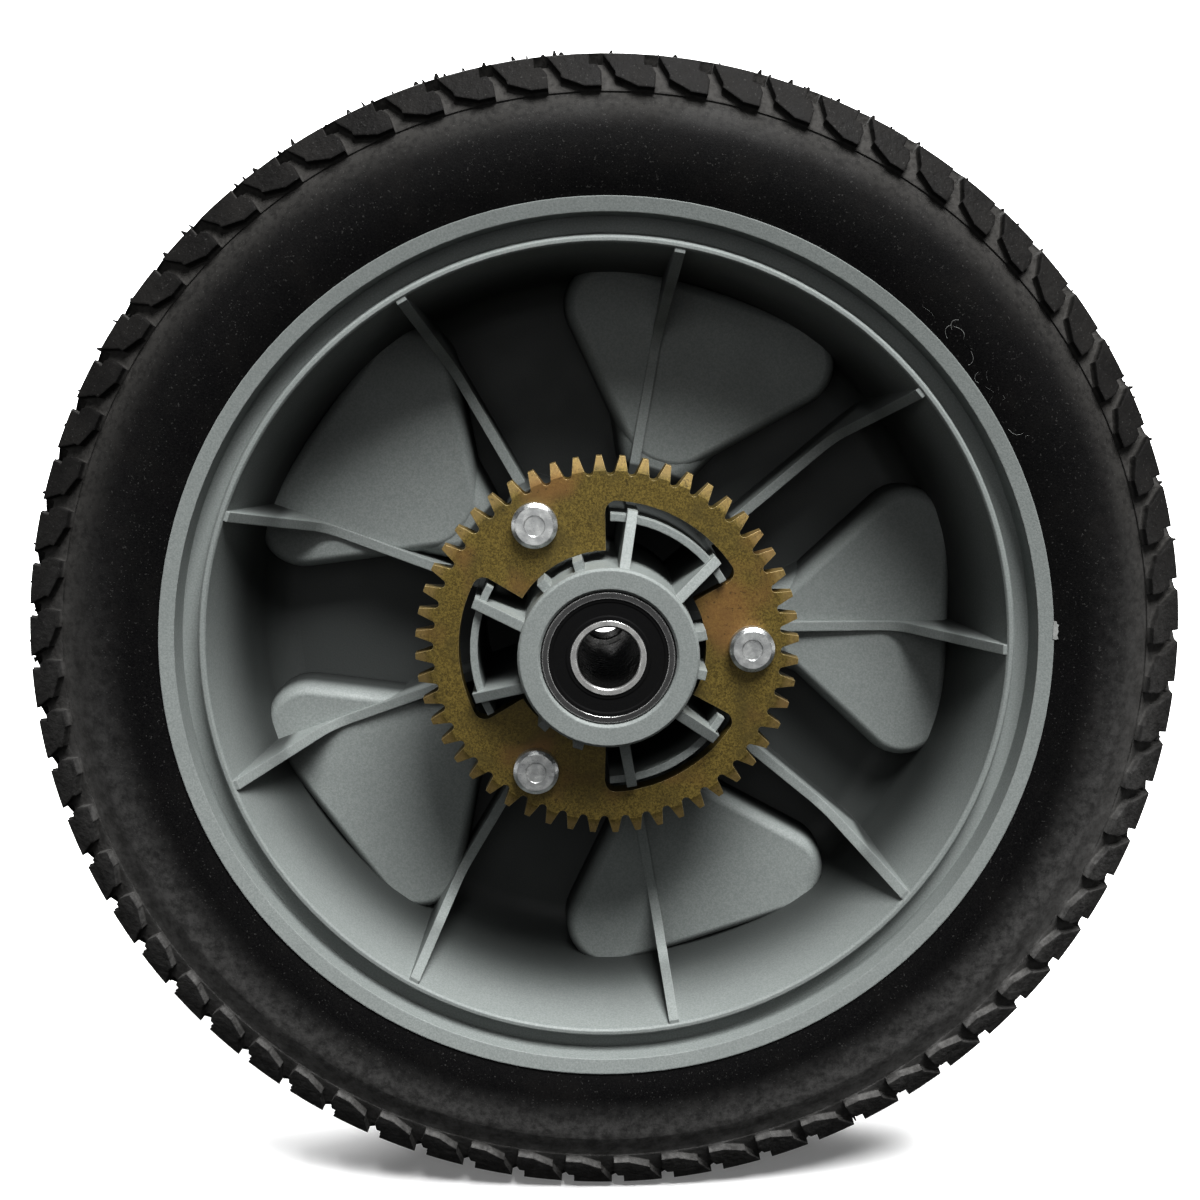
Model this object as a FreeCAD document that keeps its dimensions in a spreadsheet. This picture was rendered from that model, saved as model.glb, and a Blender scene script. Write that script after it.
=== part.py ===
import FreeCAD, Part
import math
import os
import re
import Sketcher
from FreeCAD import Placement, Rotation, Vector

# Mower drive wheel: moulded wheel, rubber tyre, bolted spur gear and two sealed ball bearings.
# The origin is the wheel's centre, the wheel turns about Y, and the gear side faces -Y.

doc = FreeCAD.newDocument("mower_drive_wheel")
sheet = doc.addObject("Spreadsheet::Sheet", "sizes")

# Driving sizes in millimetres and degrees.
SIZES = {
    # Tyre
    "tyre_radius": 152.5,
    "shoulder_radius": 150.4,
    "tab_foot_radius": 142.3,
    "crease_radius": 134.6,
    "crease_half_width": 29.4,
    "bulge_half_width": 30.2,
    "shoulder_slope": 31,
    "tread_depth": 2.6,
    "tread_count": 68,
    "tread_groove_width": 3.4,
    "tread_groove_reach": 16,
    "tread_groove_skew": 8.5,
    "tread_groove_lean": 3,
    "tread_bend_height": 4.2,
    "tab_corner_width": 5.4,
    "tab_corner_height": 3,
    "tread_floor_rise": 0.4,
    "bead_setback": 0.6,
    "tyre_clearance": 0.1,
    # Rim
    "rim_half_width": 29,
    "flange_radius": 115.9,
    "flange_width": 3.9,
    "flange_dish": 0.8,
    "flange_thickness": 3,
    "flange_height": 1.7,
    "well_drop": 4.7,
    "well_half_width": 14.5,
    "well_slope_width": 3,
    "ring_groove_width": 5.6,
    "ring_groove_depth": 8,
    "ring_groove_draft": 0.7,
    "lip_thickness": 1.9,
    "lip_bevel": 0.5,
    "lip_setback": 3,
    "barrel_foot_radius": 95,
    "barrel_fillet": 9,
    "web_setback": 53.5,
    "web_thickness": 3,
    "rim_wall": 3.2,
    "back_groove_width": 5,
    "back_groove_depth": 22,
    # Lobes of the web
    "lobe_count": 5,
    "lobe_rise": 14.4,
    "lobe_outer_radius": 94,
    "lobe_half_width": 35,
    "lobe_inner_radius": 47,
    "lobe_inner_half_width": 12,
    "lobe_corner": 13,
    "lobe_brow": 6,
    "pocket_brow": 5,
    # Ribs, gussets and curved walls
    "rib_count": 9,
    "rib_thickness": 2.7,
    "rib_lip_setback": 3.4,
    "rib_knee_radius": 82,
    "rib_knee_setback": 38,
    "rib_knee_reach": 5,
    "rib_foot_setback": 35.5,
    "gusset_radius": 37.3,
    "gusset_hub_setback": -5,
    "gusset_end_setback": 4,
    "curved_wall_radius": 35,
    "curved_wall_thickness": 2,
    "curved_wall_half_angle": 29,
    "curved_wall_setback": 4.8,
    "nub_half_angle": 12,
    "nub_width": 2.6,
    "nub_setback": -2.4,
    # Hub
    "hub_radius": 23.4,
    "hub_half_length": 35.4,
    "hub_nose_radius": 21.4,
    "hub_bore_radius": 14,
    "hub_chamfer": 0.6,
    "bearing_setback": 0.9,
    # Gear
    "gear_setback": 7.2,
    "gear_thickness": 6,
    "gear_teeth": 52,
    "gear_phase": 2.51,
    "gear_tip_radius": 50.6,
    "gear_root_radius": 46.4,
    "tooth_tip_width": 1.5,
    "tooth_root_width": 3.5,
    "tooth_bevel": 1.1,
    "tooth_bevel_foot": 0.4,
    "tooth_root_roundness": 1.1,
    "gear_bore_radius": 26,
    "gear_pilot_clearance": 0.1,
    "window_radius": 39.1,
    "window_half_angle": 31,
    "window_corner": 3,
    # Bolts and nuts
    "bolt_count": 3,
    "bolt_circle_radius": 37.9,
    "bolt_radius": 3,
    "bolt_clearance": 0.2,
    "bolt_head_radius": 6,
    "bolt_head_height": 3.4,
    "bolt_head_bevel": 1,
    "bolt_head_bevel_height": 0.8,
    "bolt_mark_radius": 2.7,
    "bolt_mark_depth": 0.35,
    "bolt_neck_width": 6.3,
    "bolt_end": 1.5,
    "bolt_end_chamfer": 0.75,
    "boss_radius": 8.5,
    "nut_across_flats": 10,
    "nut_height": 6,
    "nut_flange_radius": 6.6,
    "nut_flange_height": 1.4,
    # Bearings
    "inboard_bore_radius": 7.9375,
    "inboard_outer_radius": 17.5,
    "inboard_width": 11,
    "inboard_inner_edge_width": 1.8,
    "inboard_outer_edge_width": 2.05,
    "inboard_ball_radius": 2.98,
    "inboard_ball_count": 8,
    "outboard_bore_radius": 6.35,
    "outboard_outer_radius": 16,
    "outboard_width": 10,
    "outboard_inner_edge_width": 2.8,
    "outboard_outer_edge_width": 2.05,
    "outboard_ball_radius": 2.78,
    "outboard_ball_count": 7,
    "race_depth": 1.2,
    "race_clearance": 0.04,
    "race_openness": 1.04,
    "ring_chamfer": 0.5,
    "seal_thickness": 0.8,
    "seal_setback": 0.3,
    "seal_clearance": 0.15,
    "seal_room": 0.3,
    "seal_bead_width": 0.8,
    "seal_dish_depth": 0.16,
    "seal_dish_slope": 0.4,
    "cage_half_band": 1.1,
    "cage_thickness": 0.55,
    "cage_clearance": 0.1,
    "rivet_radius": 0.5,
    "rivet_head_radius": 0.9,
    "rivet_head_height": 0.3,
    "rivet_head_flat": 0.6,
    "rivet_clearance": 0.03,
    # Spacer
    "spacer_radius": 9.7,
    "spacer_bore_radius": 8.1,
}

for row, (alias, number) in enumerate(SIZES.items(), start=1):
    sheet.set(f"A{row}", alias)
    sheet.set(f"B{row}", str(number))
    sheet.setAlias(f"B{row}", alias)
doc.recompute()


# Expressions and placing

def bound(text):
    """An expression whose size names point at the sheet."""
    def name(found):
        word = found.group()
        return f"sizes.{word}" if word in SIZES else word
    return re.sub(r"[a-z][a-z_]+", name, text)


def value(text):
    """The number that an expression has now."""
    return float(sheet.evalExpression(bound(text)))


def tie(item, path, text):
    """Bind one property of a document object to an expression."""
    item.setExpression(path, bound(text))


# Places along the axle, as expressions
FLANGE_FACE = "-rim_half_width"
WEB_FACE = "(web_setback - rim_half_width)"
WEB_BACK = "(web_setback + web_thickness - rim_half_width)"
GEAR_FACE = "(gear_setback - rim_half_width)"
GEAR_BACK = "(gear_setback + gear_thickness - rim_half_width)"
INBOARD_MIDDLE = "(bearing_setback + inboard_width / 2 - hub_half_length)"
OUTBOARD_MIDDLE = "(hub_half_length - bearing_setback - outboard_width / 2)"
SEAT_RADIUS = "(flange_radius - flange_height)"


def from_flange(setback):
    """A place along the axle, given as its setback behind the gear side's flange face."""
    return f"({setback} - rim_half_width)"


# Sketches and features

def new_body(label):
    return doc.addObject("PartDesign::Body", label)


def origin_feature(body, role):
    return next(item for item in body.Origin.OriginFeatures if item.Role == role)


def new_sketch(body, plane, name):
    sketch = body.newObject("Sketcher::SketchObject", name)
    sketch.AttachmentSupport = [(origin_feature(body, plane), "")]
    sketch.MapMode = "FlatFace"
    return sketch


def section(body, name):
    """A sketch of radius across and axle place up, in a plane through the axle."""
    return new_sketch(body, "XY_Plane", name)


def face_view(body, name, place):
    """A sketch seen from the gear side, at a place along the axle."""
    sketch = new_sketch(body, "XZ_Plane", name)
    tie(sketch, "AttachmentOffset.Base.z", f"-({place})")
    return sketch


def turn_sketch(sketch, degrees):
    """Turn a section sketch about the axle, counted anticlockwise from the gear side."""
    sketch.AttachmentOffset = Placement(Vector(0, 0, 0), Rotation(Vector(0, 1, 0), -degrees))


def fix_point(sketch, edge, end, across, up):
    for kind, text in (("DistanceX", across), ("DistanceY", up)):
        index = sketch.addConstraint(Sketcher.Constraint(kind, -1, 1, edge, end, value(text)))
        tie(sketch, f"Constraints[{index}]", text)


def arc_between(start, finish, radius, side):
    """An arc of a radius between two points, bulging to the left (1) or right (-1) of the way."""
    half = (finish - start) * 0.5
    rise = math.sqrt(max(radius ** 2 - half.Length ** 2, 0))
    across = Vector(half.y, -half.x, 0).normalize()
    centre = start + half + across * (rise * side)
    first = math.atan2(start.y - centre.y, start.x - centre.x)
    last = math.atan2(finish.y - centre.y, finish.x - centre.x)
    if side > 0:
        first, last = last, first
    return Part.ArcOfCircle(Part.Circle(centre, Vector(0, 0, 1), radius), first, last)


def outline(sketch, corners):
    """A closed outline. A corner is (across, up), or (across, up, radius, side) where an arc ends."""
    points = [Vector(value(corner[0]), value(corner[1]), 0) for corner in corners]
    edges = []
    for number, corner in enumerate(corners):
        start = points[number - 1]
        finish = points[number]
        if len(corner) == 2:
            edge = sketch.addGeometry(Part.LineSegment(start, finish))
            edges.append((edge, 1, 2))
            continue
        edge = sketch.addGeometry(arc_between(start, finish, value(corner[2]), corner[3]))
        edges.append((edge, 2, 1) if corner[3] > 0 else (edge, 1, 2))
    for number, (edge, _, end) in enumerate(edges):
        following, begin, _ = edges[(number + 1) % len(edges)]
        sketch.addConstraint(Sketcher.Constraint("Coincident", edge, end, following, begin))
        fix_point(sketch, edge, end, corners[number][0], corners[number][1])
    for (edge, _, _), corner in zip(edges, corners):
        if len(corner) == 4:
            index = sketch.addConstraint(Sketcher.Constraint("Radius", edge, value(corner[2])))
            tie(sketch, f"Constraints[{index}]", corner[2])


def circle(sketch, across, up, radius):
    edge = sketch.addGeometry(
        Part.Circle(Vector(value(across), value(up), 0), Vector(0, 0, 1), value(radius)))
    fix_point(sketch, edge, 3, across, up)
    index = sketch.addConstraint(Sketcher.Constraint("Radius", edge, value(radius)))
    tie(sketch, f"Constraints[{index}]", radius)


def revolve(body, sketch, name, kind="Revolution"):
    feature = body.newObject(f"PartDesign::{kind}", name)
    feature.Profile = sketch
    feature.ReferenceAxis = (sketch, ["V_Axis"])
    feature.Angle = 360
    return feature


def extrude(body, sketch, name, length, kind="Pad", away=False, middle=False):
    feature = body.newObject(f"PartDesign::{kind}", name)
    feature.Profile = sketch
    feature.Reversed = away
    if middle:
        feature.SideType = "Symmetric"
    tie(feature, "Length", length)
    return feature


def repeat(body, features, name, count):
    """Repeat features round the axle."""
    pattern = body.newObject("PartDesign::PolarPattern", name)
    pattern.Originals = features
    pattern.Axis = (origin_feature(body, "Y_Axis"), [""])
    pattern.Angle = 360
    tie(pattern, "Occurrences", count)
    body.Tip = pattern
    return pattern


def polar(radius, degrees):
    """The two coordinates of a point at a radius and an angle, as expressions."""
    angle = f"(({degrees}) * 1 deg)"
    return f"({radius}) * cos{angle}", f"({radius}) * sin{angle}"


# Moulded wheel

def moulding_section(body):
    """Rim, barrel, web and hub tube, turned as one section."""
    mouth = "(flange_radius - flange_width)"
    lip_out = "(flange_radius - flange_width - ring_groove_width)"
    lip_in = "(flange_radius - flange_width - ring_groove_width - lip_thickness)"
    lip_edge = from_flange("lip_setback")
    groove_floor = from_flange("ring_groove_depth")
    well = f"({SEAT_RADIUS} - well_drop)"
    back_wall = f"({well} - rim_wall)"
    back_floor = "(rim_half_width - back_groove_depth)"
    slope = f"(({lip_in} - barrel_foot_radius) / (web_setback - lip_setback))"
    steep = f"sqrt(1 + {slope} ^ 2)"
    fillet_reach = f"(barrel_fillet / ({steep} + {slope}))"
    barrel_end = f"(barrel_foot_radius + {fillet_reach} * {slope} / {steep})"
    hub_shoulder = f"({INBOARD_MIDDLE} + inboard_width / 2)"
    back_shoulder = f"({OUTBOARD_MIDDLE} - outboard_width / 2)"
    sketch = section(body, "moulding_section")
    outline(sketch, [
        ("flange_radius", FLANGE_FACE),
        (mouth, from_flange("flange_dish")),
        (f"{mouth} - ring_groove_draft", groove_floor),
        (f"{lip_out} + ring_groove_draft", groove_floor),
        (lip_out, f"{lip_edge} + lip_bevel"),
        (f"{lip_out} - lip_bevel", lip_edge),
        (f"{lip_in} + lip_bevel", lip_edge),
        (lip_in, f"{lip_edge} + lip_bevel"),
        (barrel_end, f"{WEB_FACE} - {fillet_reach} / {steep}"),
        (f"barrel_foot_radius - {fillet_reach}", WEB_FACE, "barrel_fillet", -1),
        ("hub_radius", WEB_FACE),
        ("hub_radius", "hub_chamfer - hub_half_length"),
        ("hub_radius - hub_chamfer", "-hub_half_length"),
        ("inboard_outer_radius + hub_chamfer", "-hub_half_length"),
        ("inboard_outer_radius", "hub_chamfer - hub_half_length"),
        ("inboard_outer_radius", hub_shoulder),
        ("hub_bore_radius", hub_shoulder),
        ("hub_bore_radius", back_shoulder),
        ("outboard_outer_radius", back_shoulder),
        ("outboard_outer_radius", "hub_half_length - hub_chamfer"),
        ("outboard_outer_radius + hub_chamfer", "hub_half_length"),
        ("hub_nose_radius - hub_chamfer", "hub_half_length"),
        ("hub_nose_radius", "hub_half_length - hub_chamfer"),
        ("hub_radius", WEB_BACK),
        ("barrel_foot_radius", WEB_BACK),
        (f"{back_wall} - back_groove_width - lip_thickness", "rim_half_width"),
        (f"{back_wall} - back_groove_width", "rim_half_width"),
        (f"{back_wall} - ring_groove_draft - lip_thickness", back_floor),
        (f"{back_wall} - ring_groove_draft", back_floor),
        (back_wall, "rim_half_width"),
        ("flange_radius", "rim_half_width"),
        ("flange_radius", "rim_half_width - flange_thickness"),
        (SEAT_RADIUS, "rim_half_width - flange_thickness"),
        (SEAT_RADIUS, "well_half_width + well_slope_width"),
        (well, "well_half_width"),
        (well, "-well_half_width"),
        (SEAT_RADIUS, "-(well_half_width + well_slope_width)"),
        (SEAT_RADIUS, "flange_thickness - rim_half_width"),
        ("flange_radius", "flange_thickness - rim_half_width"),
    ])
    return revolve(body, sketch, "moulding_turned")


def lobe_corners(inset):
    """The rounded triangle of one lobe, drawn in by an inset."""
    depth = "(lobe_outer_radius - lobe_inner_radius)"
    spread = "(lobe_half_width - lobe_inner_half_width)"
    side = f"sqrt({depth} ^ 2 + {spread} ^ 2)"
    run = f"({depth} / {side})"
    lean = f"({spread} / {side})"
    outer = f"(lobe_outer_radius - {inset})"
    wide = f"(lobe_half_width - {inset} * (1 + {lean}) / {run})"
    corner = f"(lobe_corner - {inset})"
    reach = f"({corner} * sqrt((1 + {lean}) / (1 - {lean})))"
    inner = f"(lobe_inner_radius + {inset} * {lean})"
    narrow = f"(lobe_inner_half_width - {inset} * {run})"
    end_radius = f"lobe_inner_half_width / {run} - {inset}"
    side_end = f"{outer} - {reach} * {run}"
    side_width = f"({wide} - {reach} * {lean})"
    return [
        (outer, f"{wide} - {reach}"),
        (side_end, side_width, corner, -1),
        (inner, narrow),
        (inner, f"-{narrow}", end_radius, -1),
        (side_end, f"-{side_width}"),
        (outer, f"{reach} - {wide}", corner, -1),
    ]


# Rounding of a lobe's brow: share of its rise, and share of its inset at that height
BROW = ((0, 0), (0.55, 0.14), (0.86, 0.42), (1, 1))


def loft_lobe(body, name, kind, base, inset, brow_width):
    """One lobe with a rounded brow, lofted through sections from its foot to its top."""
    sketches = []
    for number, (rise, brow) in enumerate(BROW, start=1):
        sketch = face_view(body, f"{name}_section_{number}", f"{base} - lobe_rise * {rise}")
        outline(sketch, lobe_corners(f"({inset} + {brow_width} * {brow})"))
        sketches.append(sketch)
    feature = body.newObject(f"PartDesign::{kind}Loft", name)
    feature.Profile = sketches[0]
    feature.Sections = sketches[1:]
    return repeat(body, [feature], f"{name}s", "lobe_count")


def add_lobes(body):
    """Five raised lobes on the web's inner face."""
    return loft_lobe(body, "lobe", "Additive", WEB_FACE, "0", "lobe_brow")


def add_pockets(body):
    """The hollow backs of the lobes, which shape the outer face."""
    return loft_lobe(body, "pocket", "Subtractive", WEB_BACK, "web_thickness", "pocket_brow")


def add_ribs(body):
    """Nine ribs from the hub to the lip, each with a knee above the lobes."""
    lip_in = "(flange_radius - flange_width - ring_groove_width - lip_thickness)"
    middle = f"({WEB_FACE} + {WEB_BACK}) / 2"
    run_in = "(rib_knee_radius - hub_radius + hub_chamfer)"
    drop_in = "(rib_knee_setback - rib_foot_setback)"
    length_in = f"sqrt({run_in} ^ 2 + {drop_in} ^ 2)"
    run_out = f"({lip_in} - lip_thickness / 2 - rib_knee_radius)"
    rise_out = "(rib_knee_setback - rib_lip_setback)"
    length_out = f"sqrt({run_out} ^ 2 + {rise_out} ^ 2)"
    turn = f"(atan({rise_out} / {run_out}) + atan({drop_in} / {run_in}))"
    sketch = section(body, "rib_outline")
    outline(sketch, [
        ("hub_radius - hub_chamfer", from_flange("rib_foot_setback")),
        (f"rib_knee_radius - rib_knee_reach * {run_in} / {length_in}",
         from_flange(f"rib_knee_setback - rib_knee_reach * {drop_in} / {length_in}")),
        (f"rib_knee_radius + rib_knee_reach * {run_out} / {length_out}",
         from_flange(f"rib_knee_setback - rib_knee_reach * {rise_out} / {length_out}"),
         f"rib_knee_reach / tan({turn} / 2)", 1),
        (f"{lip_in} - lip_thickness / 2", from_flange("rib_lip_setback")),
        (f"{lip_in} + lip_thickness / 2", from_flange("rib_lip_setback")),
        ("barrel_foot_radius + rim_wall", f"{WEB_FACE} - barrel_fillet"),
        ("barrel_foot_radius", middle),
        ("hub_radius - hub_chamfer", middle),
    ])
    rib = extrude(body, sketch, "rib", "rib_thickness", middle=True)
    return repeat(body, [rib], "ribs", "rib_count")


def add_gusset(body, name, degrees):
    """A gusset that slopes from the hub's rim down to the curved wall."""
    middle = f"({WEB_FACE} + {WEB_BACK}) / 2"
    sketch = section(body, f"{name}_outline")
    turn_sketch(sketch, degrees)
    outline(sketch, [
        ("hub_radius - hub_chamfer", from_flange("gusset_hub_setback")),
        ("gusset_radius", from_flange("gusset_end_setback")),
        ("gusset_radius", middle),
        ("hub_radius - hub_chamfer", middle),
    ])
    return extrude(body, sketch, name, "rib_thickness", middle=True)


def add_curved_wall(body):
    """A curved wall across the ends of two gussets."""
    middle = f"({WEB_FACE} + {WEB_BACK}) / 2"
    wall_in = "(curved_wall_radius - curved_wall_thickness / 2)"
    wall_out = "(curved_wall_radius + curved_wall_thickness / 2)"
    first = "(180 / bolt_count - curved_wall_half_angle)"
    last = "(180 / bolt_count + curved_wall_half_angle)"
    sketch = face_view(body, "curved_wall_outline", middle)
    outline(sketch, [
        polar(wall_out, first),
        (*polar(wall_out, last), wall_out, -1),
        polar(wall_in, last),
        (*polar(wall_in, first), wall_in, 1),
    ])
    return extrude(body, sketch, "curved_wall", f"{middle} - {from_flange('curved_wall_setback')}")


def add_boss(body):
    """A boss that carries the gear and holds a bolt."""
    middle = f"({WEB_FACE} + {WEB_BACK}) / 2"
    sketch = face_view(body, "boss_outline", middle)
    circle(sketch, "bolt_circle_radius", "0", "boss_radius")
    return extrude(body, sketch, "boss", f"{middle} - {GEAR_BACK}")


def add_nub(body, name, sign):
    """A short key on the hub tube that centres the gear."""
    sketch = face_view(body, f"{name}_outline", GEAR_BACK)
    angle = f"({sign} * nub_half_angle * 1 deg)"
    root = "(hub_radius - hub_chamfer)"
    reach = "(gear_bore_radius - gear_pilot_clearance)"
    corners = [(root, -1), (reach, -1), (reach, 1), (root, 1)]
    outline(sketch, [
        (f"{along} * cos{angle} - {side} * nub_width / 2 * sin{angle}",
         f"{along} * sin{angle} + {side} * nub_width / 2 * cos{angle}")
        for along, side in corners
    ])
    return extrude(body, sketch, name, f"{GEAR_BACK} - {from_flange('nub_setback')}")


def add_hub_tower(body):
    """Gussets, curved walls, bolt bosses and nubs, the same at each bolt."""
    third = 360 / value("bolt_count")
    step = 360 / value("rib_count")
    pieces = [
        add_gusset(body, "gusset_low", step),
        add_gusset(body, "gusset_high", third - step),
        add_curved_wall(body),
        add_boss(body),
        add_nub(body, "nub_low", -1),
        add_nub(body, "nub_high", 1),
    ]
    repeat(body, pieces, "hub_tower", "bolt_count")


def add_bolt_holes(body):
    sketch = face_view(body, "bolt_hole_outline", WEB_BACK)
    circle(sketch, "bolt_circle_radius", "0", "bolt_radius + bolt_clearance")
    hole = extrude(body, sketch, "bolt_hole", f"{WEB_BACK} - {GEAR_BACK}", kind="Pocket", away=True)
    repeat(body, [hole], "bolt_holes", "bolt_count")


def make_wheel_moulding():
    body = new_body("wheel_moulding")
    moulding_section(body)
    add_lobes(body)
    add_ribs(body)
    add_hub_tower(body)
    add_pockets(body)
    add_bolt_holes(body)
    return body


# Tyre

SLOPE = "(shoulder_slope * 1 deg)"


def shoulder_place(radius, depth):
    """Half width of the tyre's shoulder at a radius, a depth above the groove floor."""
    foot = f"({radius} - crease_radius - {depth} * sin{SLOPE})"
    return f"(crease_half_width + {depth} * cos{SLOPE} - {foot} * tan{SLOPE})"


def make_tyre_casing():
    """The tyre with its tread full, before the grooves are cut."""
    body = new_body("tyre_casing")
    sketch = section(body, "tyre_section")
    edge = shoulder_place("shoulder_radius", "tread_depth")
    tab_face = shoulder_place("tab_foot_radius", "tread_depth")
    floor_radius = f"(tab_foot_radius - tread_depth * sin{SLOPE})"
    floor_face = f"({tab_face} - tread_depth * cos{SLOPE})"
    rise = "(tyre_radius - shoulder_radius)"
    crown = f"({rise} / 2 + {edge} ^ 2 / (2 * {rise}))"
    bead = "(flange_radius + tyre_clearance)"
    bead_face = "(rim_half_width - bead_setback)"
    chord = f"sqrt((crease_radius - {bead}) ^ 2 + (crease_half_width - {bead_face}) ^ 2)"
    sag = "(bulge_half_width - crease_half_width + bead_setback)"
    bulge = f"({sag} / 2 + {chord} ^ 2 / (8 * {sag}))"
    bead_in = "(rim_half_width - flange_thickness - tyre_clearance)"
    seat = f"({SEAT_RADIUS} + tyre_clearance)"
    well = f"({SEAT_RADIUS} - well_drop + tyre_clearance)"
    tongue_root = "(well_half_width + well_slope_width - tyre_clearance)"
    tongue_tip = "(well_half_width - tyre_clearance)"
    outline(sketch, [
        ("tab_foot_radius", f"-{tab_face}"),
        (floor_radius, f"-{floor_face}"),
        ("crease_radius", "-crease_half_width"),
        (bead, f"-{bead_face}", bulge, 1),
        (bead, f"-{bead_in}"),
        (seat, f"-{bead_in}"),
        (seat, f"-{tongue_root}"),
        (well, f"-{tongue_tip}"),
        (well, tongue_tip),
        (seat, tongue_root),
        (seat, bead_in),
        (bead, bead_in),
        (bead, bead_face),
        ("crease_radius", "crease_half_width", bulge, 1),
        (floor_radius, floor_face),
        ("tab_foot_radius", tab_face),
        ("shoulder_radius", edge),
        ("shoulder_radius", f"-{edge}", crown, 1),
    ])
    revolve(body, sketch, "tyre_turned")
    return body


def prism(points, way):
    """A solid drawn from a flat outline along a way."""
    return Part.Face(Part.makePolygon(points + points[:1])).extrude(way)


def shoulder_slot():
    """The slot between two tabs, bent half way up, with the slanted corner of one tab at its foot."""
    slope = math.radians(value("shoulder_slope"))
    depth = value("tread_depth")
    half = value("tread_groove_width") / 2
    corner = half + value("tab_corner_width")
    run = (value("shoulder_radius") - value("tab_foot_radius")) / math.cos(slope)
    along = Vector(math.cos(slope), math.sin(slope), 0)
    out = Vector(math.sin(slope), -math.cos(slope), 0)
    tab_face = value(shoulder_place("tab_foot_radius", "tread_depth"))
    floor = depth - value("tread_floor_rise")
    foot = Vector(value("tab_foot_radius"), -tab_face, 0) - out * floor
    bend = value("tread_bend_height")
    lean = value("tread_groove_lean") * (run + depth - bend) / (run - bend)

    def point(turn, up):
        return foot + Vector(0, 0, turn) + along * up

    points = [
        point(half, -depth),
        point(half, bend),
        point(half + lean, run + depth),
        point(lean - half, run + depth),
        point(-half, bend),
        point(-half, value("tab_corner_height")),
        point(-corner, 0),
        point(-corner, -depth),
    ]
    return prism(points, out * depth * 3)


def crown_slot():
    """The slot that goes on from the shoulder, slanting across the crown."""
    depth = value("tread_depth")
    half = value("tread_groove_width") / 2
    reach = value("tread_groove_reach")
    skew = value("tread_groove_skew")
    floor = value("shoulder_radius") - depth
    edge = value(shoulder_place("shoulder_radius", "tread_depth"))
    lean = value("tread_groove_lean")

    def point(turn, inward):
        return Vector(floor, inward - edge, turn + lean)

    points = [
        point(half, -depth),
        point(half, depth),
        point(half + skew, reach),
        point(skew - half, reach),
        point(-half, depth * 2),
        point(-half, -depth),
    ]
    return prism(points, Vector(depth * 3, 0, 0))


def make_tyre(casing):
    """The casing with grooves cut round both shoulders, half a pitch apart."""
    centre = Vector(0, 0, 0)
    groove = shoulder_slot().fuse(crown_slot())
    other = groove.copy()
    other.rotate(centre, Vector(1, 0, 0), 180)
    pitch = 360 / value("tread_count")
    cuts = []
    for number in range(int(value("tread_count"))):
        for shape, start in ((groove, 0), (other, pitch / 2)):
            cut = shape.copy()
            cut.rotate(centre, Vector(0, 1, 0), start + number * pitch)
            cuts.append(cut)
    tyre = doc.addObject("Part::Feature", "tyre")
    tyre.Shape = casing.Shape.cut(cuts)
    return tyre


# Gear

def make_drive_gear():
    body = new_body("drive_gear")
    sketch = section(body, "gear_section")
    bevel_radius = "(gear_root_radius + tooth_bevel_foot)"
    outline(sketch, [
        ("gear_bore_radius", GEAR_FACE),
        ("gear_bore_radius", GEAR_BACK),
        (bevel_radius, GEAR_BACK),
        ("gear_tip_radius", f"{GEAR_BACK} - tooth_bevel"),
        ("gear_tip_radius", f"{GEAR_FACE} + tooth_bevel"),
        (bevel_radius, GEAR_FACE),
    ])
    revolve(body, sketch, "gear_blank")

    half_pitch = "180 / gear_teeth"
    tip_angle = f"({half_pitch} - tooth_tip_width / gear_tip_radius * 90 / pi)"
    root_angle = f"({half_pitch} - tooth_root_width / gear_root_radius * 90 / pi)"
    root_half = f"(gear_root_radius * sin({root_angle} * 1 deg))"
    beyond = "(gear_tip_radius + tooth_bevel)"
    sketch = face_view(body, "tooth_gap_outline", GEAR_BACK)
    start = f"gear_phase + {half_pitch}"
    outline(sketch, [
        polar("gear_tip_radius", f"{start} - {tip_angle}"),
        polar(beyond, f"{start} - {tip_angle}"),
        polar(beyond, f"{start} + {tip_angle}"),
        polar("gear_tip_radius", f"{start} + {tip_angle}"),
        polar("gear_root_radius", f"{start} + {root_angle}"),
        (*polar("gear_root_radius", f"{start} - {root_angle}"), f"{root_half} * tooth_root_roundness", -1),
    ])
    gap = extrude(body, sketch, "tooth_gap", "gear_thickness", kind="Pocket", away=True)
    repeat(body, [gap], "tooth_gaps", "gear_teeth")

    third = 360 / value("bolt_count")
    corner = "window_corner"
    corner_angle = f"({corner} / window_radius * 180 / pi)"
    first = f"({third / 2} - window_half_angle)"
    last = f"({third / 2} + window_half_angle)"
    inside = "(gear_bore_radius - bolt_radius)"
    sketch = face_view(body, "window_outline", GEAR_BACK)
    outline(sketch, [
        polar(inside, first),
        polar(f"window_radius - {corner}", first),
        (*polar("window_radius", f"{first} + {corner_angle}"), corner, -1),
        (*polar("window_radius", f"{last} - {corner_angle}"), "window_radius", -1),
        (*polar(f"window_radius - {corner}", last), corner, -1),
        polar(inside, last),
    ])
    window = extrude(body, sketch, "window", "gear_thickness", kind="Pocket", away=True)
    repeat(body, [window], "windows", "bolt_count")

    half = "(bolt_neck_width / 2 + bolt_clearance / 2)"
    sketch = face_view(body, "neck_hole_outline", GEAR_BACK)
    outline(sketch, [
        (f"bolt_circle_radius + {half}", half),
        (f"bolt_circle_radius - {half}", half),
        (f"bolt_circle_radius - {half}", f"-{half}"),
        (f"bolt_circle_radius + {half}", f"-{half}"),
    ])
    hole = extrude(body, sketch, "neck_hole", "gear_thickness", kind="Pocket", away=True)
    repeat(body, [hole], "neck_holes", "bolt_count")
    return body


# Bolts and nuts

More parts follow.
